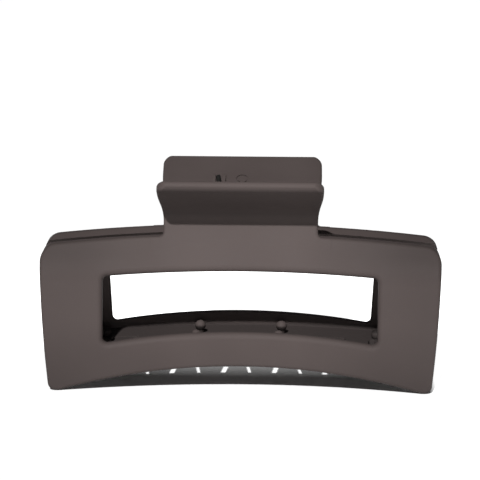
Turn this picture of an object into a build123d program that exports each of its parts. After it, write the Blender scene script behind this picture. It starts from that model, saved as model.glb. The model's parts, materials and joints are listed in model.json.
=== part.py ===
from build123d import *
import math
import os

# Claw clip: two arched, open-framed jaws on one hinge pin, closed by a torsion spring.
# X runs along the jaws, Y through them (front jaw towards -Y), Z up from the table.
# "out" is a distance from the X-Z plane towards a jaw's own outside.

# ---- jaw frame, seen from the front ----
HALF_LENGTH_TOP = 55.2         # side edges carried up to the top edge, before rounding
HALF_LENGTH_MID = 54.2
HALF_LENGTH_FOOT = 52.8
MID_HEIGHT = 18.0
TOP_HEIGHT = 43.1              # top edge at the centre
TOP_ARCH_R = 460.0
FOOT_X = 50.0                  # the bottom arch comes down to the foot here
BOTTOM_HEIGHT = 7.4
TOP_CORNER_R = 4.6
FOOT_CORNER_R = 2.2

# ---- window in the frame ----
WINDOW_HALF = 37.7
FRONT_WINDOW_FOOT = 37.7       # half width at the sill
REAR_WINDOW_FOOT = 36.8
WINDOW_TOP = 33.5
WINDOW_TOP_ARCH_R = 450.0
WINDOW_BOTTOM = 16.9
WINDOW_BOTTOM_ARCH_R = 205.0
WINDOW_CORNER_R = 1.4

# ---- wall and top flange, seen from the side: (out, height) ----
WALL = 2.8
FLANGE = 2.5
FLANGE_TOP = [(6.9, 43.5), (1.8, 42.3), (4.3, 39.8)]         # falls to its free edge, undercut below
LOWER_FACE = [(13.4, -2.0), (14.2, 7.0), (14.4, 15.0), (13.95, 23.0), (13.1, 30.0)]
UPPER_FACE = [(12.2, 34.0), (10.75, 37.6), (7.6, 44.35)]     # follows the arch of the top edge
STATION_STEP = 7.0

# ---- neck and thumb tab, seen from the side: (out, height) ----
NECK_OUTER = [(10.55, 37.6), (8.5, 42.3), (7.2, 45.6), (6.95, 48.0), (8.0, 50.2), (10.2, 51.9)]
NECK_INNER = [(5.4, 50.4), (4.6, 47.6), (5.0, 44.5), (6.3, 41.0), (8.0, 38.0)]
TAB_FOLD = (19.6, 57.0)        # where the underside turns up into the lip
LIP_FOOT = (20.75, 57.75)
LIP_TOP = (21.15, 58.95)
TIP_R = 1.25
TIP_TURN = 123.0               # degrees round the tip, from the lip to the inner face
TAB_STRAIGHT = 13.7

# ---- neck and thumb tab, seen from the front ----
NECK_HALF = 21.2
TAB_HALF = 22.5
TAB_FLARE_START = 46.5
TAB_FLARE_END = 56.0
NECK_CORNER_R = 1.2
TAB_CORNER_R = 4.0             # in the plane of the tab

# ---- rounded edges ----
OUTER_EDGE_R = 1.1
WINDOW_EDGE_R = 1.5
INNER_EDGE_R = 0.5
TAB_EDGE_R = 0.8

# ---- interlocking teeth, at the same places in each jaw's own view ----
FLOOR_HEIGHT = 12.9            # top of the teeth at the centre
FLOOR_ARCH_R = 545.0
FLOOR_THICKNESS = 2.2
TOOTH_STEP = 7.24              # front and rear teeth alternate at this step
TOOTH_GAP = 1.4
TOOTH_TAPER = 6.0              # degrees, each flank
TOOTH_ROOT_OUT = 12.6
TOOTH_CORNER_R = 0.4
TEETH = [-4.5, -2.5, -0.5, 1.5, 3.5, 5.5]
FRONT_TIP_OUT = -0.2
REAR_TIP_OUT = -9.6
LEDGE_HALF = 46.0
FRONT_LEDGE_OUT = 10.4         # narrow step along the front wall
REAR_LEDGE_OUT = 1.0           # broad shelf along the rear wall

# ---- upright ball-tipped grip pegs on the floor: (x, out, height of the ball) ----
FRONT_PEGS = [(10.6, 5.5, 14.2)]
REAR_PEGS = [(-38.1, 2.6, 12.7), (-11.4, 2.6, 14.95), (11.4, 2.6, 14.95), (38.1, 2.6, 12.7), (12.3, -5.5, 14.2)]
PEG_R = 0.95
PEG_BALL_R = 1.5

# ---- hinge ----
HINGE_HEIGHT = 46.9
PIN_R = 1.2
PIN_RUNNING_R = 1.25
PIN_HEAD_R = 2.0
PIN_HEAD = 0.9
PIN_RIVET_R = 1.6
PIN_RIVET = 0.6
LUG_R = 3.5
LUG_WEB = 5.2
LUG_ROOT_OUT = 5.6
RELIEF_HALF = 16.6
RELIEF_OUT = 4.4
RELIEF_HEIGHT = 42.6
FRONT_LUG = (12.3, 15.1)       # outer pair, grips the pin
REAR_LUG = (8.9, 12.0)         # inner pair, turns on the pin

# ---- torsion spring ----
WIRE_R = 0.65
COIL_R = 2.95
COIL_HALF = 5.62
COIL_TURNS = 8
LEG_ANGLE = 26.5               # degrees above level
LEG_LENGTH = 14.2

# ---- details inside the thumb tab ----
RIB_WIDTH = 0.8
RIB_HEIGHT = 1.0
RIB_LENGTH = 4.6
RIB_START = 1.4                # along the tab's inner face from the neck
RIB_X = 6.5
RIB_SPACING = 2.8
MARK_R = 1.7
MARK_WIDTH = 0.4
MARK_DEPTH = 0.25
MARK_ALONG = 4.9

# Front jaw planes: (out, height) at a given x, and (x, height) seen from the front.
side_plane = Plane(origin=(0, 0, 0), x_dir=(0, -1, 0), z_dir=(-1, 0, 0))
front_plane = Plane(origin=(0, 0, 0), x_dir=(1, 0, 0), z_dir=(0, -1, 0))


def arch_drop(x, radius):
    return radius - math.sqrt(radius**2 - x**2)


def section(x, inset, top, inner):
    """Closed side section at x: the jaw's outside, moved in by inset and cut level at top, then the
    inner corners from the top down."""
    drop = arch_drop(x, TOP_ARCH_R)
    start, end = UPPER_FACE[0][1], UPPER_FACE[-1][1]
    (low_out, low), (end_out, _) = UPPER_FACE[-2:]
    last = (low_out + (end_out - low_out) * (top - low) / (end - low), top)
    upper = [(out, z - drop * (z - start) / (top - start)) for out, z in UPPER_FACE[:-1] + [last]]
    points = [(x, inset - out, z) for out, z in LOWER_FACE + upper]
    corners = [(x, -out, z - drop) for out, z in inner] + [(x, -inner[-1][0], points[0][2])]
    ring = [points[-1], *corners, points[0]]
    return Face(Wire([Spline(points)] + [Line(a, b) for a, b in zip(ring, ring[1:])]))


def envelope(inset, top, inner):
    """The closed side sections, lofted through evenly spaced stations."""
    stations = [STATION_STEP * n for n in range(-9, 10)]
    return loft([section(x, inset, top, inner) for x in stations])


def frame_outline():
    """Front outline of the jaw frame, in (x, height), corners rounded."""
    corner = (HALF_LENGTH_TOP, TOP_HEIGHT - arch_drop(HALF_LENGTH_TOP, TOP_ARCH_R))
    edges = [
        ThreePointArc((-FOOT_X, 0), (0, BOTTOM_HEIGHT), (FOOT_X, 0)),
        ThreePointArc((-corner[0], corner[1]), (0, TOP_HEIGHT), corner),
    ]
    for s in (1, -1):
        foot, middle = (s * HALF_LENGTH_FOOT, 0), (s * HALF_LENGTH_MID, MID_HEIGHT)
        edges += [
            Line((s * FOOT_X, 0), foot),
            ThreePointArc(foot, middle, (s * corner[0], corner[1])),
        ]
    outline = make_face(edges)
    tops = outline.vertices().filter_by(lambda v: v.Y > TOP_HEIGHT / 2)
    outline = fillet(tops, TOP_CORNER_R)
    feet = outline.vertices().filter_by(lambda v: v.Y < 1 and abs(v.X) > FOOT_X + 1)
    return fillet(feet, FOOT_CORNER_R)


def window_outline(foot):
    """Front outline of the window, with this half width at the sill."""
    top_side = WINDOW_TOP - arch_drop(WINDOW_HALF, WINDOW_TOP_ARCH_R)
    bottom_side = WINDOW_BOTTOM - arch_drop(foot, WINDOW_BOTTOM_ARCH_R)
    window = make_face([
        ThreePointArc((-foot, bottom_side), (0, WINDOW_BOTTOM), (foot, bottom_side)),
        Line((foot, bottom_side), (WINDOW_HALF, top_side)),
        ThreePointArc((WINDOW_HALF, top_side), (0, WINDOW_TOP), (-WINDOW_HALF, top_side)),
        Line((-WINDOW_HALF, top_side), (-foot, bottom_side)),
    ])
    return fillet(window.vertices(), WINDOW_CORNER_R)


def frame_solid(window_foot):
    """Arched frame with its window and top flange."""
    outline = frame_outline() - window_outline(window_foot)
    below = TOP_HEIGHT - FLANGE
    shell = envelope(0, UPPER_FACE[-1][1], FLANGE_TOP) - envelope(WALL, below, [(-5.0, below)])
    frame = shell & extrude(front_plane * outline, 40, both=True)
    beside = (46.0, -14.2, 20.0)
    behind = (46.0, -11.3, 20.0)
    for probe, radius in ((beside, WINDOW_EDGE_R), (behind, INNER_EDGE_R)):
        face = frame.faces().sort_by_distance(probe)[0]
        frame = fillet([e for w in face.inner_wires() for e in w.edges()], radius)
    face = frame.faces().sort_by_distance(beside)[0]
    return fillet(face.outer_wire().edges(), OUTER_EDGE_R)


def neck_outline():
    """Front outline of the neck and thumb tab, with its concave feet on the frame's top edge."""
    foot = TOP_HEIGHT - arch_drop(NECK_HALF, TOP_ARCH_R)
    low = NECK_INNER[-1][1] - 1.0
    reach = NECK_HALF + 3.5
    top = LIP_TOP[1] + TIP_R + 0.5
    edges = [Line((-reach, low), (reach, low)), Line((-TAB_HALF, top), (TAB_HALF, top))]
    for s in (1, -1):
        edges += [
            Line((s * reach, low), (s * reach, foot - 0.15)),
            Line((s * reach, foot - 0.15), (s * NECK_HALF, foot)),
            Line((s * NECK_HALF, foot), (s * NECK_HALF, TAB_FLARE_START)),
            Spline(
                (s * NECK_HALF, TAB_FLARE_START), (s * TAB_HALF, TAB_FLARE_END), tangents=[(0, 1), (0, 1)]
            ),
            Line((s * TAB_HALF, TAB_FLARE_END), (s * TAB_HALF, top)),
        ]
    outline = make_face(edges)
    feet = outline.vertices().filter_by(lambda v: abs(v.Y - foot) < 0.01)
    return fillet(feet, NECK_CORNER_R)


# The tab's rounded tip, and the straight inner face that runs from it down to the neck.
tip = JernArc(LIP_TOP, (0, 1), TIP_R, TIP_TURN)
tab_inner = PolarLine(tip @ 1, TAB_STRAIGHT, direction=tip % 1)


def tab_plane():
    """Plane on the tab's inner face: x along the face away from the neck, y along the jaw."""
    foot, along = tab_inner @ 1, tab_inner % 0
    return Plane(origin=(0, -foot.X, foot.Y), x_dir=(0, along.X, -along.Y), z_dir=(0, -along.Y, -along.X))


def tab_corners():
    """What the two rounded corners of the thumb tab leave out."""
    start = TAB_STRAIGHT + TIP_R + 0.3 - TAB_CORNER_R
    reach = TAB_CORNER_R + 2.0
    corner = Rectangle(reach, reach, align=(Align.MIN, Align.MIN)) - Circle(TAB_CORNER_R)
    corner = Pos(start, TAB_HALF - TAB_CORNER_R) * corner
    one = extrude(tab_plane() * corner, 8, both=True)
    return one + mirror(one, about=Plane.YZ)


def neck_solid():
    """Neck and flared thumb tab as one curved plate."""
    profile = make_face([
        Spline(NECK_OUTER + [TAB_FOLD, LIP_FOOT, LIP_TOP], tangents=[(-0.42, 0.9), (0, 1)]),
        tip,
        tab_inner,
        Spline([tab_inner @ 1] + NECK_INNER, tangents=[tip % 1, (0.5, -0.86)]),
        Line(NECK_INNER[-1], NECK_OUTER[0]),
    ])
    front = extrude(front_plane * neck_outline(), 40, both=True)
    plate = (extrude(side_plane * profile, 30, both=True) & front) - tab_corners()
    sides = [plate.edges().sort_by_distance((s * TAB_HALF, -11.0, 52.4))[0] for s in (1, -1)]
    return fillet(sides, TAB_EDGE_R)


def tooth(index, tip_out, middle_out):
    """One tapered tooth of the floor, from inside its own wall to just short of the other jaw's ledge."""
    def half_width(out):
        return (TOOTH_STEP - TOOTH_GAP) / 2 + (out - middle_out) * math.tan(math.radians(TOOTH_TAPER))

    root, end = half_width(TOOTH_ROOT_OUT), half_width(tip_out)
    plan = make_face(Polyline(
        (-root, -TOOTH_ROOT_OUT), (root, -TOOTH_ROOT_OUT), (end, -tip_out), (-end, -tip_out), close=True
    ))
    plan = fillet(plan.vertices().sort_by(Axis.Y)[-2:], TOOTH_CORNER_R)
    return Pos(index * TOOTH_STEP, 0, 0) * extrude(plan, FLOOR_HEIGHT + 1)


def ledge(edge_out):
    """Solid strip of the floor along the wall, which joins the roots of the teeth."""
    depth = TOOTH_ROOT_OUT - edge_out
    return Pos(0, -edge_out - depth / 2, FLOOR_HEIGHT / 2) * Box(2 * LEDGE_HALF, depth, FLOOR_HEIGHT + 2)


def floor_slab():
    """Arched slab that the teeth and ledges are cut from."""
    reach = 52.0
    drop = arch_drop(reach, FLOOR_ARCH_R)
    low = FLOOR_HEIGHT - FLOOR_THICKNESS
    strip = make_face([
        ThreePointArc((-reach, FLOOR_HEIGHT - drop), (0, FLOOR_HEIGHT), (reach, FLOOR_HEIGHT - drop)),
        Line((reach, FLOOR_HEIGHT - drop), (reach, low - drop)),
        ThreePointArc((reach, low - drop), (0, low), (-reach, low - drop)),
        Line((-reach, low - drop), (-reach, FLOOR_HEIGHT - drop)),
    ])
    return extrude(front_plane * strip, 20, both=True)


def peg(x, out, height):
    """Ball-tipped peg standing on the floor."""
    foot = FLOOR_HEIGHT - arch_drop(x, FLOOR_ARCH_R) - FLOOR_THICKNESS / 2
    stem = Cylinder(PEG_R, height - foot, align=(Align.CENTER, Align.CENTER, Align.MAX))
    return Pos(x, -out, height) * (stem + Sphere(PEG_BALL_R))


def hinge_relief():
    """Room in the flange for the coil and for the other jaw's lugs."""
    height = 2 * (TOP_HEIGHT - RELIEF_HEIGHT)
    return Pos(0, 0, TOP_HEIGHT) * Box(2 * RELIEF_HALF, 2 * RELIEF_OUT, height)


def lug(x_range, bore_r):
    """Pair of hinge lugs on the inside of the neck, bored for the pin."""
    profile = Pos(0, HINGE_HEIGHT) * Circle(LUG_R)
    web = Pos(LUG_ROOT_OUT / 2, HINGE_HEIGHT) * Rectangle(LUG_ROOT_OUT, LUG_WEB)
    profile = profile + web - Pos(0, HINGE_HEIGHT) * Circle(bore_r)
    near, far = x_range
    one = extrude(side_plane * profile, far - near)
    return Pos(far, 0, 0) * one + Pos(-near, 0, 0) * one


def leg_guides():
    """Two low ribs that keep a spring leg in its place on the tab."""
    rib = Pos(RIB_START + RIB_LENGTH / 2, RIB_X, 0) * Box(RIB_LENGTH, RIB_WIDTH, 2 * RIB_HEIGHT)
    rib = fillet(rib.edges().filter_by(Axis.Y).sort_by(Axis.Z)[-2:], RIB_HEIGHT * 0.6)
    return [tab_plane() * Pos(0, s * RIB_SPACING / 2, 0) * rib for s in (-1, 1)]


def moulding_mark():
    """Shallow ring that the mould's ejector pin leaves in the tab's inner face."""
    ring = Circle(MARK_R) - Circle(MARK_R - MARK_WIDTH)
    return extrude(tab_plane() * Pos(MARK_ALONG, 0) * ring, MARK_DEPTH, both=True)


def jaw(window_foot, tip_out, ledge_out, pegs, lug_range, bore_r):
    """One jaw, standing on the front side."""
    body = frame_solid(window_foot) + neck_solid() - moulding_mark() - hinge_relief()
    slab = floor_slab()
    middle_out = (ledge_out + tip_out) / 2
    floor = ledge(ledge_out) + [tooth(n, tip_out, middle_out) for n in TEETH]
    body += floor & slab
    body += [peg(x, out, height) for x, out, height in pegs]
    body += leg_guides()
    return body + lug(lug_range, bore_r)


def hinge_pin():
    """Round pin with a flat head at one end and a riveted end at the other."""
    half = FRONT_LUG[1]
    along = Plane(origin=(-half, 0, HINGE_HEIGHT), z_dir=(1, 0, 0))
    low = (Align.CENTER, Align.CENTER, Align.MIN)
    head = Pos(0, 0, 2 * half) * Cylinder(PIN_HEAD_R, PIN_HEAD, align=low)
    head = fillet(head.edges().sort_by(Axis.Z)[-1], PIN_HEAD / 2)
    rivet = Pos(0, 0, -PIN_RIVET) * Cylinder(PIN_RIVET_R, PIN_RIVET, align=low)
    rivet = fillet(rivet.edges().sort_by(Axis.Z)[0], PIN_RIVET / 2)
    return along * (Cylinder(PIN_R, 2 * half, align=low) + head + rivet)


def torsion_spring():
    """Close-wound coil round the pin, with a straight leg out to each thumb tab."""
    lead = 90 + LEG_ANGLE
    turns = COIL_TURNS - 2 * LEG_ANGLE / 360
    toward_lead = (0, math.cos(math.radians(lead)), math.sin(math.radians(lead)))
    start = Plane(origin=(-COIL_HALF, 0, HINGE_HEIGHT), x_dir=toward_lead, z_dir=(1, 0, 0))
    coil = start * Helix(2 * COIL_HALF / turns, 2 * COIL_HALF, COIL_R)
    low = (Align.CENTER, Align.CENTER, Align.MIN)
    leg = Cylinder(WIRE_R, LEG_LENGTH, align=low)
    wire = sweep(Plane(origin=coil @ 0, z_dir=coil % 0) * Circle(WIRE_R), path=coil, is_frenet=True)
    rear_leg = Plane(origin=coil @ 0, z_dir=-(coil % 0)) * leg
    front_leg = Plane(origin=coil @ 1, z_dir=coil % 1) * leg
    return wire + rear_leg + front_leg


if __name__ == "__main__":
    os.makedirs("parts", exist_ok=True)
    front = jaw(FRONT_WINDOW_FOOT, FRONT_TIP_OUT, FRONT_LEDGE_OUT, FRONT_PEGS, FRONT_LUG, PIN_R)
    rear = jaw(REAR_WINDOW_FOOT, REAR_TIP_OUT, REAR_LEDGE_OUT, REAR_PEGS, REAR_LUG, PIN_RUNNING_R)
    nodes = {
        "front_jaw": front,
        "rear_jaw": Rot(0, 0, 180) * rear,
        "hinge_pin": hinge_pin(),
        "torsion_spring": torsion_spring(),
    }
    for name, shape in nodes.items():
        export_step(shape, f"parts/{name}.step")
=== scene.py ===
import json
import math

import bpy
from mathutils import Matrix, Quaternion, Vector


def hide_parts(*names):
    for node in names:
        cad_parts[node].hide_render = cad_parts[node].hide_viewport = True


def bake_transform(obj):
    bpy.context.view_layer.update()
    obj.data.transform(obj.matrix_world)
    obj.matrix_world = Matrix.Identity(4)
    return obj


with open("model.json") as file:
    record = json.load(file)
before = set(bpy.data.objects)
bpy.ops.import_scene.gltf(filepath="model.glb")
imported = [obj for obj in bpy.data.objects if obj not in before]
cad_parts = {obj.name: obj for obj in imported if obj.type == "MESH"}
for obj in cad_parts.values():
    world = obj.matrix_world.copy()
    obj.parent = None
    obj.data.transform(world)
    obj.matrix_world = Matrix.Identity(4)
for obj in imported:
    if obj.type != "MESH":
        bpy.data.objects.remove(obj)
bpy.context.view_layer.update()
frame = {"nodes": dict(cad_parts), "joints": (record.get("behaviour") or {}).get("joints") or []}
nodes = frame["nodes"]
hinge = frame["joints"][0]
MM = 0.001


# ---------------------------------------------------------------- materials
class Shader:
    """A Principled material with short helpers for its texture nodes."""

    def __init__(self, name):
        self.material = bpy.data.materials.new(name)
        self.material.use_nodes = True
        self.tree = self.material.node_tree
        self.surface = self.tree.nodes["Principled BSDF"]
        self.place = self.tree.nodes.new("ShaderNodeTexCoord").outputs["Object"]

    def set(self, **values):
        """Constant inputs of the surface, by name with _ for each space."""
        for name, value in values.items():
            self.surface.inputs[name.replace("_", " ")].default_value = value

    def link(self, source, target):
        self.tree.links.new(source, target)

    def noise(self, size, detail=3.0, roughness=0.5, place=None):
        """Noise with features of about this size in metres."""
        node = self.tree.nodes.new("ShaderNodeTexNoise")
        node.inputs["Scale"].default_value = 1.0 / size
        node.inputs["Detail"].default_value = detail
        node.inputs["Roughness"].default_value = roughness
        self.link(place or self.place, node.inputs["Vector"])
        return node.outputs["Fac"]

    def remap(self, source, low, high, to_low, to_high):
        """Source taken from low..high to to_low..to_high, and held at its ends."""
        node = self.tree.nodes.new("ShaderNodeMapRange")
        for key, value in zip(("From Min", "From Max", "To Min", "To Max"), (low, high, to_low, to_high)):
            node.inputs[key].default_value = value
        self.link(source, node.inputs["Value"])
        return node.outputs["Result"]

    def ramp(self, source, start, end):
        """0 at start and before it, 1 at end and beyond; end may be the lower."""
        return self.remap(source, start, end, 0.0, 1.0)

    def both(self, a, b):
        """Product of two masks: 1 only where both are."""
        return self.math("MULTIPLY", a, b)

    def mix(self, factor, a, b):
        """Colour a where factor is 0, b where it is 1; each a colour or a socket."""
        node = self.tree.nodes.new("ShaderNodeMix")
        node.data_type = "RGBA"
        self.link(factor, node.inputs["Factor"])
        for socket, value in ((node.inputs[6], a), (node.inputs[7], b)):
            if isinstance(value, bpy.types.NodeSocket):
                self.link(value, socket)
            else:
                socket.default_value = (*value, 1.0)
        return node.outputs[2]

    def math(self, operation, *values):
        """Math node on sockets or numbers."""
        node = self.tree.nodes.new("ShaderNodeMath")
        node.operation = operation
        for socket, value in zip(node.inputs, values):
            if isinstance(value, bpy.types.NodeSocket):
                self.link(value, socket)
            else:
                socket.default_value = value
        return node.outputs["Value"]

    def split(self, vector=None):
        """X, Y and Z of the place being shaded, or of a vector."""
        node = self.tree.nodes.new("ShaderNodeSeparateXYZ")
        self.link(vector or self.place, node.inputs["Vector"])
        return node.outputs["X"], node.outputs["Y"], node.outputs["Z"]

    def tint(self, factor, colour, by):
        """Colour multiplied by a tint where factor is 1."""
        node = self.tree.nodes.new("ShaderNodeMix")
        node.data_type = "RGBA"
        node.blend_type = "MULTIPLY"
        self.link(factor, node.inputs["Factor"])
        self.link(colour, node.inputs[6])
        node.inputs[7].default_value = (by, by, by, 1.0)
        return node.outputs[2]

    def bump(self, height, depth, under=None):
        """Bump of this depth in metres, on top of another bump."""
        node = self.tree.nodes.new("ShaderNodeBump")
        node.inputs["Strength"].default_value = 1.0
        node.inputs["Distance"].default_value = depth
        self.link(height, node.inputs["Height"])
        if under is not None:
            self.link(under, node.inputs["Normal"])
        return node.outputs["Normal"]


# Colours of the soft-touch coat, and the painted shade on the tooth floor.
COAT_DEEP = (0.0620, 0.0490, 0.0467)
COAT_PALE = (0.0665, 0.0528, 0.0502)
COAT_SPECK = (0.070, 0.057, 0.054)
FLOOR_SHADE_COLOUR = (0.0455, 0.0370, 0.0355)

# Painted shade. It is fitted to this scene's own camera and light and isn't a property of the plastic,
# so it isn't the same at both ends or on both tabs. Each pair runs from untouched to full, in metres
# except for the normal. Aside and depth are distances from the clip's middle along X and Y.
FLOOR_Z, FLOOR_DEPTH = (0.0136, 0.0131), (0.0122, 0.0116)
POST_FOOT_Z, POST_TOP_Z, POST_DEPTH = (0.0131, 0.0136), (0.0153, 0.0147), (0.0096, 0.0090)
SHOULDER_ASIDE, SHOULDER_Z, SHOULDER_DEPTH = (0.018, 0.045), (0.030, 0.038), (0.0065, 0.0085)
ENDS_ASIDE = (0.015, 0.055)
RIGHT_X = (0.015, 0.050)
FEET_Z = (0.020, 0.0)
REAR_TAB_Y, REAR_TAB_Z = (0.006, 0.012), (0.046, 0.050)
UNDERSIDE_NORMAL, UNDERSIDE_Z = (0.15, -0.4), (0.044, 0.048)

# Share of the colour left by each painted shade.
POST_SHADE = 0.3
SHOULDER_SHADE = 0.80
ENDS_SHADE = 0.79
RIGHT_SHADE = 0.90
FEET_SHADE = 0.76
REAR_TAB_SHADE = 0.76
UNDERSIDE_SHADE = 0.66


def soft_touch_plastic():
    """Matte rubberised taupe coat with a fine grain and painted shade."""
    s = Shader("soft_touch_taupe")
    cloud = s.ramp(s.noise(0.018, 4.0), 0.35, 0.65)
    fine = s.noise(0.0009, 2.0)
    coat = s.mix(cloud, COAT_DEEP, COAT_PALE)
    speck = s.remap(fine, 0.58, 0.75, 0.0, 0.35)
    coat = s.mix(speck, coat, COAT_SPECK)
    x, y, z = s.split()
    aside, depth = s.math("ABSOLUTE", x), s.math("ABSOLUTE", y)
    normal_z = s.split(s.tree.nodes["Texture Coordinate"].outputs["Normal"])[2]

    # Painted shade: the tooth floor is given a darker colour.
    floor = s.both(s.ramp(z, *FLOOR_Z), s.ramp(depth, *FLOOR_DEPTH))
    coat = s.mix(floor, coat, FLOOR_SHADE_COLOUR)
    # Painted shade on the peg posts.
    post = s.both(s.ramp(z, *POST_FOOT_Z), s.ramp(z, *POST_TOP_Z))
    coat = s.tint(s.both(post, s.ramp(depth, *POST_DEPTH)), coat, POST_SHADE)
    # Painted shade on the upper face, away from the middle.
    shoulder = s.both(s.ramp(aside, *SHOULDER_ASIDE), s.ramp(z, *SHOULDER_Z))
    coat = s.tint(s.both(shoulder, s.ramp(depth, *SHOULDER_DEPTH)), coat, SHOULDER_SHADE)
    # Painted shade towards both ends.
    coat = s.tint(s.ramp(aside, *ENDS_ASIDE), coat, ENDS_SHADE)
    # Painted shade on the right side.
    coat = s.tint(s.ramp(x, *RIGHT_X), coat, RIGHT_SHADE)
    # Painted shade towards the feet.
    coat = s.tint(s.ramp(z, *FEET_Z), coat, FEET_SHADE)
    # Painted shade on the rear tab.
    coat = s.tint(s.both(s.ramp(y, *REAR_TAB_Y), s.ramp(z, *REAR_TAB_Z)), coat, REAR_TAB_SHADE)
    # Painted shade on surfaces that face down under the tabs.
    underside = s.both(s.ramp(normal_z, *UNDERSIDE_NORMAL), s.ramp(z, *UNDERSIDE_Z))
    coat = s.tint(underside, coat, UNDERSIDE_SHADE)

    s.link(coat, s.surface.inputs["Base Color"])
    s.link(s.remap(s.noise(0.009, 5.0, 0.6), 0.3, 0.7, 0.62, 0.72), s.surface.inputs["Roughness"])
    s.set(Specular_IOR_Level=0.1)
    slow = s.bump(s.noise(0.012, 2.0), 0.00005)
    grain = s.bump(s.noise(0.0012, 2.0), 0.000008, slow)
    s.link(grain, s.surface.inputs["Normal"])
    return s.material


PIN_STEEL = (0.56, 0.56, 0.57)
SPRING_STEEL = (0.13, 0.125, 0.12)
DULL = 0.62                        # share of the colour left in a dull patch


def drawn_steel(name, colour, roughness):
    """Drawn wire or rod: fine lines along X and a few dull patches."""
    s = Shader(name)
    stretch = s.tree.nodes.new("ShaderNodeMapping")
    stretch.inputs["Scale"].default_value = (0.08, 1.0, 1.0)
    s.link(s.place, stretch.inputs["Vector"])
    lines = s.noise(0.00025, 3.0, 0.6, stretch.outputs["Vector"])
    patch = s.ramp(s.noise(0.004, 3.0), 0.45, 0.7)
    dull = tuple(DULL * c for c in colour)
    s.link(s.mix(patch, colour, dull), s.surface.inputs["Base Color"])
    s.link(s.remap(lines, 0.3, 0.7, roughness - 0.06, roughness + 0.1), s.surface.inputs["Roughness"])
    s.set(Metallic=1.0)
    s.link(s.bump(lines, 0.000008), s.surface.inputs["Normal"])
    return s.material


# The sheet glows behind the clip and to its right. Each pair runs in metres, from x, y or the middle.
SHEET_DEEP = (0.945, 0.945, 0.945)
SHEET_PALE = (0.955, 0.955, 0.955)
GLOW = 0.95
GLOW_RIGHT = (0.0525, 0.0545)
GLOW_BEHIND = (0.030, 0.045)
GLOW_REACH = (0.20, 0.13)
SPILL = 0.17                       # painted light on the sheet under the clip, standing in for light that spills under the rear jaw
SPILL_DEPTH = (0.0025, 0.0145)
SPILL_WIDTH = (0.046, 0.024)


def studio_white():
    """White sheet that glows away from the clip, which hides the shadow behind it and to its right."""
    s = Shader("studio_white")
    tone = s.ramp(s.noise(0.3, 2.0), 0.3, 0.7)
    s.link(s.mix(tone, SHEET_DEEP, SHEET_PALE), s.surface.inputs["Base Color"])
    s.set(Roughness=0.8, Specular_IOR_Level=0.2, Emission_Color=(1.0, 1.0, 1.0, 1.0))
    x, y, _ = s.split()
    away = s.math("MAXIMUM", s.remap(x, *GLOW_RIGHT, 0.0, GLOW), s.remap(y, *GLOW_BEHIND, 0.0, GLOW))
    middle = s.ramp(s.math("ABSOLUTE", x), *SPILL_WIDTH)
    spill = s.both(s.remap(y, *SPILL_DEPTH, 0.0, SPILL), middle)
    far = s.tree.nodes.new("ShaderNodeVectorMath")
    far.operation = "LENGTH"
    s.link(s.place, far.inputs[0])
    near = s.ramp(far.outputs["Value"], *GLOW_REACH)
    s.link(s.both(s.math("ADD", away, spill), near), s.surface.inputs["Emission Strength"])
    return s.material


def assign(obj, material):
    """Make this the object's only material."""
    obj.data.materials.clear()
    obj.data.materials.append(material)


plastic = soft_touch_plastic()
for name in ("front_jaw", "rear_jaw"):
    for slot in nodes[name].material_slots:
        slot.material = plastic
for slot in nodes["hinge_pin"].material_slots:
    slot.material = drawn_steel("pin_steel", PIN_STEEL, 0.34)


# ---------------------------------------------------------------- torsion spring
DOME_ANGLES = (15, 40, 65)         # degrees from the wire's tip, for the rings of its domed end
DOME_HEIGHT = 0.6                  # height of the dome, in wire radii


def tube(name, path, radius, sides=14):
    """Round wire along a list of points, with domed ends."""
    last = len(path) - 1
    tangents = [(path[min(i + 1, last)] - path[max(i - 1, 0)]).normalized() for i in range(last + 1)]
    normal = tangents[0].orthogonal().normalized()
    vertices, faces = [], []

    def ring(centre, n, binormal, r):
        """Adds one ring of vertices and gives the first one's index."""
        first = len(vertices)
        for k in range(sides):
            a = 2 * math.pi * k / sides
            vertices.append(centre + r * (math.cos(a) * n + math.sin(a) * binormal))
        return first

    def dome_ring(point, outward, n, binormal, angle):
        """Ring of the domed end, at this angle from its tip."""
        a = math.radians(angle)
        return ring(point + outward * radius * math.cos(a) * DOME_HEIGHT, n, binormal, radius * math.sin(a))

    rings = []
    for i, (point, t) in enumerate(zip(path, tangents)):
        normal = (normal - normal.dot(t) * t).normalized()
        binormal = t.cross(normal)
        if i == 0:
            rings += [dome_ring(point, -t, normal, binormal, a) for a in DOME_ANGLES]
        rings.append(ring(point, normal, binormal, radius))
        if i == last:
            rings += [dome_ring(point, t, normal, binormal, a) for a in reversed(DOME_ANGLES)]
    for a, b in zip(rings, rings[1:]):
        for k in range(sides):
            m = (k + 1) % sides
            faces.append((a + k, a + m, b + m, b + k))
    faces.append(tuple(range(rings[0] + sides - 1, rings[0] - 1, -1)))
    faces.append(tuple(range(rings[-1], rings[-1] + sides)))
    mesh = bpy.data.meshes.new(name)
    mesh.from_pydata(vertices, [], faces)
    mesh.update()
    for polygon in mesh.polygons:
        polygon.use_smooth = True
    obj = bpy.data.objects.new(name, mesh)
    bpy.context.scene.collection.objects.link(obj)
    return obj


# The spring's sizes are those of the CAD spring that it replaces.
WIRE_R = 0.65 * MM
COIL_R = 2.95 * MM
COIL_HALF = 5.62 * MM
LEG_ANGLE = 26.5                   # degrees above level
LEG_LENGTH = 14.2 * MM
LEG_STEPS = 24
TURNS = 8 - 2 * LEG_ANGLE / 360
STEPS_PER_TURN = 40
NUDGE = 1e-5                       # share of the coil used to find its direction at each end
axis_point = Vector(hinge["pos_m"])


def coil_point(share):
    """Point on the coil's centreline, from 0 at the rear jaw's end to 1 at the front jaw's end."""
    angle = math.radians(90 + LEG_ANGLE) + 2 * math.pi * TURNS * share
    x = COIL_HALF * (2 * share - 1)
    return axis_point + Vector((x, COIL_R * math.cos(angle), COIL_R * math.sin(angle)))


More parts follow.
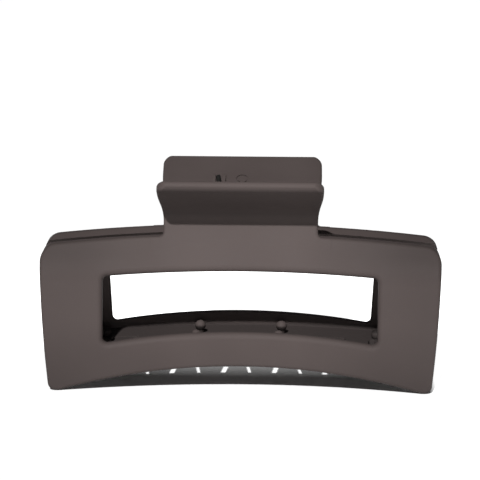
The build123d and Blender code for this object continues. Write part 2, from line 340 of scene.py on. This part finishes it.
steps = int(TURNS * STEPS_PER_TURN)
coil = [coil_point(i / steps) for i in range(steps + 1)]
rear_way = (coil_point(0) - coil_point(NUDGE)).normalized()
front_way = (coil_point(1) - coil_point(1 - NUDGE)).normalized()
rear_leg = [coil[0] + rear_way * LEG_LENGTH * i / LEG_STEPS for i in range(LEG_STEPS, 0, -1)]
front_leg = [coil[-1] + front_way * LEG_LENGTH * i / LEG_STEPS for i in range(1, LEG_STEPS + 1)]
spring = tube("spring_wire", rear_leg + coil + front_leg, WIRE_R)
assign(spring, drawn_steel("spring_steel", SPRING_STEEL, 0.40))
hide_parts("torsion_spring")
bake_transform(spring)


# ---------------------------------------------------------------- studio
SHEET_HALF = 6.0                   # metres
CAMERA_YAW = 1.1                   # degrees to the clip's right
CAMERA_RISE = 12.0                 # degrees above level
CAMERA_ROLL = 0.3                  # degrees
CAMERA_DISTANCE = 0.6              # metres
CAMERA_TARGET = Vector((-0.33, 0.0, 40.1)) * MM
LENS = 162.0
WORLD_LIGHT = 0.06


def white_sheet():
    """Large flat sheet under the clip."""
    half = SHEET_HALF
    mesh = bpy.data.meshes.new("studio_floor")
    corners = [(-half, -half, 0), (half, -half, 0), (half, half, 0), (-half, half, 0)]
    mesh.from_pydata(corners, [], [(0, 1, 2, 3)])
    obj = bpy.data.objects.new("studio_floor", mesh)
    bpy.context.scene.collection.objects.link(obj)
    assign(obj, studio_white())


def sun(name, azimuth, elevation, strength, angle):
    """Sunlight from azimuth degrees right of the front and elevation degrees up; angle is its spread."""
    data = bpy.data.lights.new(name, "SUN")
    data.energy = strength
    data.angle = math.radians(angle)
    obj = bpy.data.objects.new(name, data)
    a, e = math.radians(azimuth), math.radians(elevation)
    towards = Vector((math.sin(a) * math.cos(e), -math.cos(a) * math.cos(e), math.sin(e)))
    obj.rotation_mode = "QUATERNION"
    obj.rotation_quaternion = towards.to_track_quat("Z", "Y")
    bpy.context.scene.collection.objects.link(obj)


def camera():
    """Long lens, a little above the clip and a little to its right."""
    data = bpy.data.cameras.new("camera")
    data.sensor_width = 36.0
    data.lens = LENS
    data.clip_start = 0.01
    data.clip_end = 20.0
    obj = bpy.data.objects.new("camera", data)
    yaw, rise = math.radians(CAMERA_YAW), math.radians(CAMERA_RISE)
    back = Vector((math.sin(yaw) * math.cos(rise), -math.cos(yaw) * math.cos(rise), math.sin(rise)))
    obj.location = CAMERA_TARGET + back * CAMERA_DISTANCE
    obj.rotation_mode = "QUATERNION"
    roll = Quaternion((0, 0, 1), math.radians(CAMERA_ROLL))
    obj.rotation_quaternion = (-back).to_track_quat("-Z", "Y") @ roll
    bpy.context.scene.collection.objects.link(obj)
    bpy.context.scene.camera = obj


white_sheet()
sun("key", azimuth=-10, elevation=41, strength=5.0, angle=1.6)
sun("fill", azimuth=2, elevation=9, strength=0.32, angle=12)
camera()
world = bpy.data.worlds.new("studio")
world.use_nodes = True
background = world.node_tree.nodes["Background"]
background.inputs["Color"].default_value = (1.0, 1.0, 1.0, 1.0)
background.inputs["Strength"].default_value = WORLD_LIGHT
bpy.context.scene.world = world
bpy.context.scene.view_settings.view_transform = "Standard"
